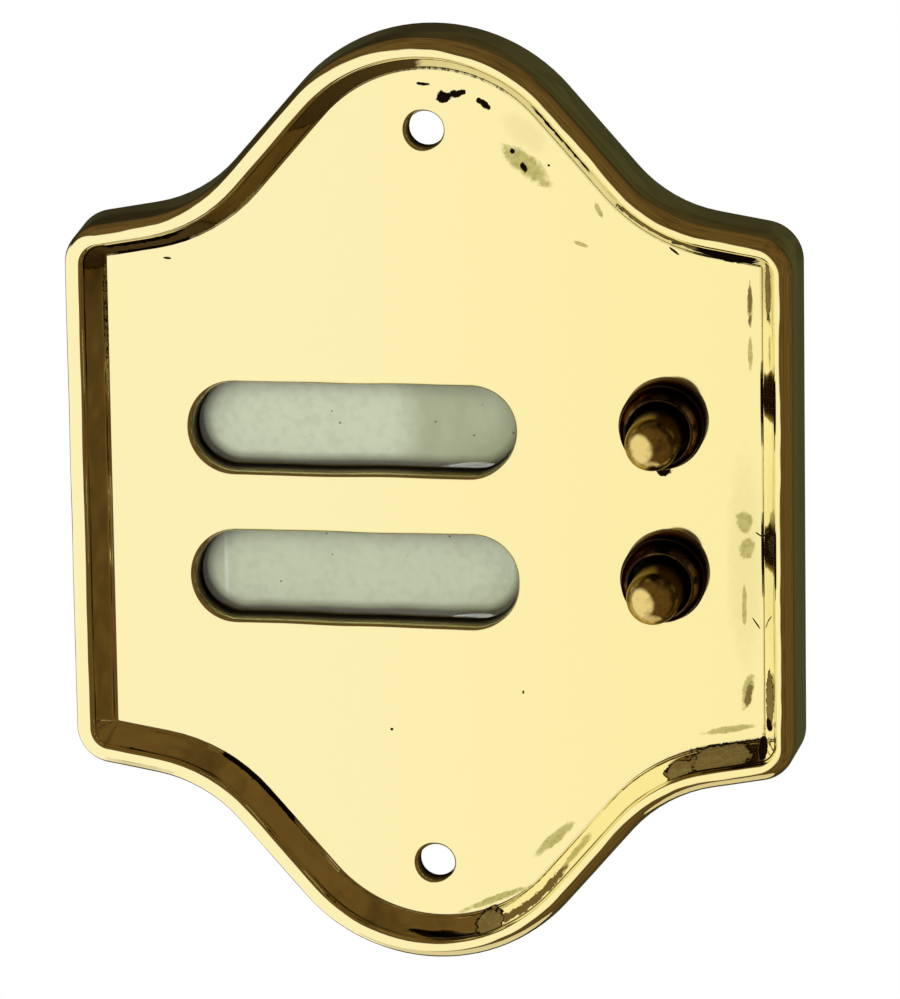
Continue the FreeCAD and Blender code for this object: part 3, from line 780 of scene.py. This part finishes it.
def hole_loop(bm, centre, half_length, radius, depth, wave, sag):
    """Closed outline of a hole in the field: round, or a long window with a filed edge."""
    ring = bmesh.ops.create_circle(bm, cap_ends=False, segments=CIRCLE_SIDES, radius=radius,
                                   matrix=Matrix.Rotation(math.pi / 2, 4, "X"))["verts"]
    edges = list(dict.fromkeys(edge for vert in ring for edge in vert.link_edges))
    if half_length > 0:
        shift = Vector((half_length - radius, 0, 0))
        bmesh.ops.rotate(bm, verts=ring, matrix=Matrix.Rotation(math.pi / CIRCLE_SIDES, 3, "Y"))
        for vert in ring:
            vert.co += shift if vert.co.x > 0 else -shift
        long_edges = [edge for edge in edges if edge.calc_length() > radius]
        cut = bmesh.ops.subdivide_edges(bm, edges=long_edges, cuts=LONG_EDGE_CUTS)
        edges = list(dict.fromkeys(edges + edges_in(cut["geom_split"])))
    for vert in ends_of(edges):
        vert.co += Vector((centre.x, -depth, centre.z))
        if wave:
            seat = Vector((vert.co.x, 0, vert.co.z)) / (11 * MM)
            outward = Vector((vert.co.x - centre.x, 0, vert.co.z - centre.z)).normalized()
            vert.co += outward * wave * noise.noise(seat) * 2
            if vert.co.z < centre.z:
                vert.co.z -= sag * (0.5 + (vert.co.x - centre.x) / (2 * half_length)) ** 2
    return edges


def lean_in(edges, centre, half_length, radius, taper):
    """Narrows a window towards the pane at its left end and along the bottom."""
    for vert in ends_of(edges):
        left = max(0.0, (centre.x - vert.co.x - half_length + radius) / radius)
        low = max(0.0, (centre.z - vert.co.z) / radius)
        vert.co.x += taper * left
        vert.co.z += taper * low


def open_edges(bm, height):
    """Edges of the open shell that lie at that height above the wall."""
    return [edge for edge in bm.edges if len(edge.link_faces) == 1
            and all(abs(vert.co.y + height) < TINY for vert in edge.verts)]


def waved(bm, sizes):
    """Lets the rim wander a little inwards, as a casting finished by hand does."""
    for vert in bm.verts:
        rise = (-vert.co.y - sizes.field_front) / (2 * MM)
        share = min(1.0, max(0.0, rise))
        seat = Vector(vert.co) / (13 * MM)
        wander = noise.noise(seat) * 0.5 + 0.5
        drift = noise.noise(seat * 2.3 + Vector((5, 0, 0))) * 0.5 + 0.5
        outward = Vector((vert.co.x, 0, vert.co.z)).normalized()
        vert.co -= outward * sizes.rim_wave * 2 * wander * share
        vert.co.y += sizes.rim_wave * 1.5 * drift * share


def field_holes(sizes, neck_radius):
    """Centre, half length, end radius, wave and sag of each hole in the field."""
    holes = [(middle(level + "_button_collar"), 0.0, neck_radius, 0.0, 0.0) for level in LEVELS]
    for level in LEVELS:
        sag = sizes.window_sag if level == "lower" else 0.0
        holes.append((middle(level + "_window_pane"), *window_size(level, sizes.pane_margin),
                      sizes.window_wave, sag))
    for place in frame["record"]["mounts"]:
        if place["kind"] == "bolt_pattern":
            spacing = Vector((0, 0, place["dims"]["spacing_y_mm"] * MM / 2))
            radius = place["dims"]["hole_r_mm"] * MM
            seat = Vector(place["pos_m"])
            holes += [(seat + way, 0.0, radius, 0.0, 0.0) for way in (spacing, -spacing)]
    return holes


def mark_flats_and_back(bm):
    """Keeps flat faces crisp against round ones, and gives the back the second material."""
    flat = {face for face in bm.faces if abs(face.normal.y) > 0.99999}
    for edge in bm.edges:
        if len({face in flat for face in edge.link_faces}) == 2:
            edge.smooth = False
    hollow = bm.verts.layers.float["back"]
    for face in bm.faces:
        if all(vert[hollow] > 0.5 for vert in face.verts) or face.normal.y > 0.99:
            face.material_index = 1


class BELL_OT_face_plate(bpy.types.Operator):
    """Build the cast shield plate with its rim, field, windows and holes"""

    bl_idname = "bell.face_plate"
    bl_label = "Face plate"

    def execute(self, context):
        sizes = context.scene.bell_plate
        low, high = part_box("face_plate")
        half_width, half_height, rim_height = high[0], high[2], -low[1]
        field_back = -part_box("upper_window_pane")[0][1]
        bm = bmesh.new()
        rim_chain(bm, sizes, half_width, rim_height, field_back)
        rim_quarter(bm, sizes, half_width, half_height)
        for axis in ("X", "Z"):
            bmesh.ops.mirror(bm, geom=bm.verts[:] + bm.edges[:] + bm.faces[:],
                             matrix=Matrix.Identity(4), merge_dist=TINY, axis=axis)
        front = open_edges(bm, sizes.field_front)
        back = open_edges(bm, field_back)
        rims = []
        for centre, half_length, radius, wave, sag in field_holes(
                sizes, context.scene.bell_buttons.neck_radius):
            edges = hole_loop(bm, centre, half_length, radius, sizes.field_front, wave, sag)
            rims.append(edges)
            inner = moved_copy(bm, edges, Vector((0, sizes.field_front - field_back, 0)))
            if wave:
                lean_in(inner, centre, half_length, radius, sizes.window_taper)
            back += inner
            front += edges
        bmesh.ops.triangle_fill(bm, edges=front, use_beauty=True, normal=(0, -1, 0))
        bmesh.ops.triangle_fill(bm, edges=back, use_beauty=True, normal=(0, 1, 0))
        bmesh.ops.recalc_face_normals(bm, faces=bm.faces[:])
        for edges in rims:
            rounded(bm, edges, sizes.window_edge, 4)
        waved(bm, sizes)
        soften(bm)
        mark_flats_and_back(bm)
        made = finishes(context)
        finished_piece(bm, "cast_face_plate", "plate", "face_plate",
                       [made["polished brass"], made["cast brass back"]])
        return {"FINISHED"}


def turned_piece(points, rounds, axis, steps, hollow_at):
    """Spins a section of (radius, y) points about an axis square to the wall."""
    bm = bmesh.new()
    from_axis = bm.verts.layers.float.new("from_axis")
    hollow = bm.verts.layers.float.new("hollow")
    verts = chain(bm, [Vector((axis.x + radius, y, axis.z)) for radius, y in points])
    for number, vert in enumerate(verts):
        vert[hollow] = 1.0 if number in hollow_at else 0.0
    for number, (round_radius, segments) in rounds.items():
        round_corner(bm, verts[number], round_radius, segments)
    for vert in bm.verts:
        vert[from_axis] = vert.co.x - axis.x
    bmesh.ops.spin(bm, geom=bm.verts[:] + bm.edges[:], cent=(axis.x, 0, axis.z), axis=(0, 1, 0),
                   angle=2 * math.pi, steps=steps, use_merge=True, use_duplicate=False)
    bmesh.ops.remove_doubles(bm, verts=bm.verts[:], dist=TINY)
    bmesh.ops.recalc_face_normals(bm, faces=bm.faces[:])
    soften(bm)
    return bm


class BELL_OT_collars(bpy.types.Operator):
    """Build the two turned collars that guide the buttons"""

    bl_idname = "bell.collars"
    bl_label = "Button collars"

    def execute(self, context):
        sizes = context.scene.bell_buttons
        field = context.scene.bell_plate.field_front
        guide = sizes.button_radius + sizes.guide_fit
        made = finishes(context)
        for level in LEVELS:
            node = level + "_button_collar"
            low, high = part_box(node)
            radius, top = (high[0] - low[0]) / 2, low[1]
            body = radius - sizes.ledge_width
            points = (
                (guide, high[1]),
                (sizes.neck_radius, high[1]),
                (sizes.neck_radius, -field),
                (radius, -field),
                (radius, -field - sizes.ledge_height),
                (body, -field - sizes.ledge_height),
                (body, top + sizes.dome_height),
                (sizes.mouth_radius + sizes.lip_width, top),
                (sizes.mouth_radius + sizes.mouth_bevel / 2, top),
                (sizes.mouth_radius, top + sizes.mouth_bevel),
                (sizes.mouth_radius, top + sizes.mouth_depth),
                (guide, top + sizes.mouth_depth),
                (guide, high[1]),
            )
            rounds = {4: (0.15 * MM, 3), 6: (sizes.dome_round, 10), 7: (0.22 * MM, 4),
                      8: (0.1 * MM, 2), 9: (0.15 * MM, 3), 1: (0.2 * MM, 2)}
            bm = turned_piece(points, rounds, middle(node), sizes.spin_steps, (0, 10, 11, 12))
            finished_piece(bm, "turned_" + node, "plate", node,
                           [made["browned brass"]])
        return {"FINISHED"}


class BELL_OT_buttons(bpy.types.Operator):
    """Build the two dome-ended push buttons"""

    bl_idname = "bell.buttons"
    bl_label = "Push buttons"

    def execute(self, context):
        sizes = context.scene.bell_buttons
        made = finishes(context)
        for level in LEVELS:
            node = level + "_push_button"
            low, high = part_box(node)
            flange_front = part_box(level + "_button_collar")[1][1] + sizes.stop_gap
            flange_back = flange_front + sizes.flange_thickness
            points = (
                (0.0, high[1]),
                (sizes.spigot_radius, high[1]),
                (sizes.spigot_radius, flange_back),
                ((high[0] - low[0]) / 2, flange_back),
                ((high[0] - low[0]) / 2, flange_front),
                (sizes.button_radius, flange_front),
                (sizes.button_radius, low[1]),
                (0.0, low[1]),
            )
            rounds = {1: (0.25 * MM, 3), 3: (0.1 * MM, 2), 4: (0.1 * MM, 2),
                      6: (sizes.button_radius * 0.985, 20)}
            bm = turned_piece(points, rounds, middle(node), sizes.spin_steps, ())
            finished_piece(bm, "turned_" + node, level + "_button", node,
                           [made["turned brass"]])
        return {"FINISHED"}


def slab(node, name, material, corner, edge):
    """A flat rectangle with rounded corners and eased edges, in the place of a CAD node."""
    low, high = (Vector(end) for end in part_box(node))
    size = high - low
    bm = bmesh.new()
    bmesh.ops.create_cube(bm, size=1.0, matrix=Matrix.Translation((low + high) / 2)
                          @ Matrix.Diagonal((*size, 1.0)))
    upright = [part for part in bm.edges if abs(part.verts[0].co.y - part.verts[1].co.y) > TINY]
    rounded(bm, upright, corner, 8)
    flat_edges = [part for part in bm.edges
                  if {abs(face.normal.y) > 0.9 for face in part.link_faces} == {True, False}]
    rounded(bm, flat_edges, edge, 2)
    soften(bm)
    finished_piece(bm, name, "plate", node, [material])


class BELL_OT_windows(bpy.types.Operator):
    """Build the glass panes and the blank name cards behind the windows"""

    bl_idname = "bell.windows"
    bl_label = "Panes and cards"

    def execute(self, context):
        made = finishes(context)
        margin = context.scene.bell_plate.pane_margin
        for level in LEVELS:
            slab(level + "_window_pane", level + "_glass_pane", made["clear glass"],
                 margin, 0.08 * MM)
            card = blank_card(context.scene.bell_finishes, level, *window_size(level, margin))
            slab(level + "_name_card", level + "_blank_card", card, margin, 0.05 * MM)
        return {"FINISHED"}


def coil_spring(level, material):
    """The return spring as a piece of its own, copied from its CAD node."""
    node = level + "_return_spring"
    bm = bmesh.new()
    bm.from_mesh(frame["nodes"][node].data)
    bmesh.ops.remove_doubles(bm, verts=bm.verts, dist=TINY)
    soften(bm, math.radians(60))
    piece = finished_piece(bm, level + "_coil_spring", "plate", node, [material])
    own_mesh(piece)


class BELL_OT_fittings(bpy.types.Operator):
    """Give the clips, nuts, screws, contacts and bases their finishes, and build the springs"""

    bl_idname = "bell.fittings"
    bl_label = "Fittings behind the plate"

    def execute(self, context):
        made = finishes(context)
        for level in LEVELS:
            for finish, parts in FITTINGS.items():
                for part in parts:
                    dress(level + "_" + part, made[finish])
            coil_spring(level, made["spring steel"])
        return {"FINISHED"}


def pale_floor(look):
    """Plain pale floor with faint clouds."""
    paint = Finish("pale floor", {"Roughness": 0.7})
    clouds = paint.grain(0.3)
    return paint.set(Base_Color=paint.blend(clouds * 0.2, look.floor, (0.8, 0.8, 0.79, 1.0)))


def aimed(name, data, place, target, roll=0.0):
    """A lamp or camera that looks from a place at a point."""
    made = bpy.data.objects.new(name, data)
    made.location = place
    made.rotation_mode = "QUATERNION"
    made.rotation_quaternion = ((target - place).to_track_quat("-Z", "Y")
                                @ Quaternion((0, 0, 1), roll))
    bpy.context.scene.collection.objects.link(made)
    return made


def soft_lamp(name, place, power):
    """A large soft lamp that looks at the plate and isn't mirrored in it."""
    data = bpy.data.lights.new(name, "AREA")
    data.shape = "DISK"
    data.size = LAMP_SIZE
    data.energy = power
    data.color = LAMP_TINT
    aimed(name, data, Vector(place), Vector()).visible_glossy = False


def studio_world():
    """Soft studio: a white side at the left and front, dim brown elsewhere."""
    world = bpy.data.worlds.new("studio")
    world.use_nodes = True
    world.node_tree.nodes.clear()
    paint = Paint(world.node_tree)
    way = paint.node("TexCoord").outputs["Generated"]
    ripple = paint.value("TexNoise", None, {"Vector": way, "Scale": 2.2, "Detail": 2.0})
    things = paint.value("TexNoise", None, {"Vector": way, "Scale": 4.5, "Detail": 3.0})

    def side(direction, low, high):
        facing = paint.value("VectorMath", {"operation": "DOT_PRODUCT"},
                             {0: way, 1: Vector(direction).normalized()}, "Value")
        return paint.rise(facing + (ripple - 0.5) * 0.08, low, high)

    path = paint.node("LightPath").outputs
    camera, through, mirrored = (Channel(paint, path[kind]) for kind in (
        "Is Camera Ray", "Is Transmission Ray", "Is Glossy Ray"))
    lit_side = side((-0.74, -0.64, -0.20), 0.55, 0.62) | side((-0.85, 0.05, -0.5), 0.66, 0.78)
    white = camera | through | lit_side * (mirrored * 0.15 + 0.85)
    warm = side((0.75, -0.6, -0.1), -0.3, 0.75) | side((-0.1, 0.25, 1.0), 0.35, 0.95)
    warm = warm | side((-0.2, -0.5, 0.85), 0.45, 0.9)
    olive, brown = (0.028, 0.023, 0.009, 1.0), (0.135, 0.085, 0.036, 1.0)
    grey, dark_things = (0.07, 0.068, 0.03, 1.0), (0.012, 0.009, 0.005, 1.0)
    white_wall = (1.0, 1.0, 1.0, 1.0)
    room = paint.blend(warm, olive, brown)
    room = paint.blend(side((0.3, 0.95, -0.35), 0.65, 0.97), room, grey)
    paint.tone = paint.blend(0.5 + paint.rise(things, 0.3, 0.6) * 0.5, dark_things, room)
    paint.cover(white, white_wall)
    ground = paint.node("Background", None, {"Color": paint.tone, "Strength": 1.0})
    paint.node("OutputWorld", None, {"Surface": ground.outputs[0]})
    return world


class BELL_OT_stage(bpy.types.Operator):
    """Set the pale floor, the soft studio light and the camera"""

    bl_idname = "bell.stage"
    bl_label = "Stage"

    def execute(self, context):
        stage = context.scene.bell_stage
        bm = bmesh.new()
        bmesh.ops.create_circle(bm, cap_ends=True, segments=96, radius=0.2,
                                matrix=Matrix.Translation((0, 0, stage.floor_height)))
        floor = object_of(bm, "floor", [pale_floor(context.scene.bell_finishes)])
        context.scene.world = studio_world()
        soft_lamp("left front lamp", (-0.7, -1.0, 0.45), stage.lamp_power)
        soft_lamp("rear lamp", (0.5, 1.0, 0.6), stage.lamp_power)
        data = bpy.data.cameras.new("camera")
        data.lens = stage.lens
        away = Vector((math.sin(stage.azimuth) * math.cos(stage.elevation),
                       -math.cos(stage.azimuth) * math.cos(stage.elevation),
                       math.sin(stage.elevation)))
        target = Vector(stage.target)
        context.scene.camera = aimed("camera", data, target + away * stage.distance, target,
                                     stage.roll)
        context.scene.view_settings.view_transform = "Standard"
        return {"FINISHED"}


class BELL_PT_panel(bpy.types.Panel):
    """Buttons and sizes of the bell plate in the sidebar"""

    bl_idname = "BELL_PT_panel"
    bl_label = "Bell plate"
    bl_space_type = "VIEW_3D"
    bl_region_type = "UI"
    bl_category = "Bell plate"

    def draw(self, context):
        for operator in OPERATORS:
            self.layout.operator(operator.bl_idname)
        for name in GROUPS:
            group = getattr(context.scene, name)
            for key in group.bl_rna.properties.keys():
                if key not in ("rna_type", "name"):
                    self.layout.prop(group, key)


GROUPS = {
    "bell_plate": PlateSizes,
    "bell_buttons": ButtonSizes,
    "bell_finishes": Finishes,
    "bell_stage": StageSettings,
}
OPERATORS = (BELL_OT_face_plate, BELL_OT_collars, BELL_OT_buttons, BELL_OT_windows,
             BELL_OT_fittings, BELL_OT_stage)


def register():
    """Registers the classes and hangs the settings on the scene."""
    for made in (*GROUPS.values(), *OPERATORS, BELL_PT_panel):
        bpy.utils.register_class(made)
    for name, group in GROUPS.items():
        setattr(bpy.types.Scene, name, PointerProperty(type=group))


def unregister():
    """Takes the settings and the classes away again."""
    for name in GROUPS:
        delattr(bpy.types.Scene, name)
    for made in (BELL_PT_panel, *reversed(OPERATORS), *reversed(GROUPS.values())):
        bpy.utils.unregister_class(made)


def main():
    """Builds every piece in order."""
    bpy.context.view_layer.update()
    register()
    bpy.ops.bell.face_plate()
    bpy.ops.bell.collars()
    bpy.ops.bell.buttons()
    bpy.ops.bell.windows()
    bpy.ops.bell.fittings()
    bpy.ops.bell.stage()


if __name__ == "__main__":
    main()
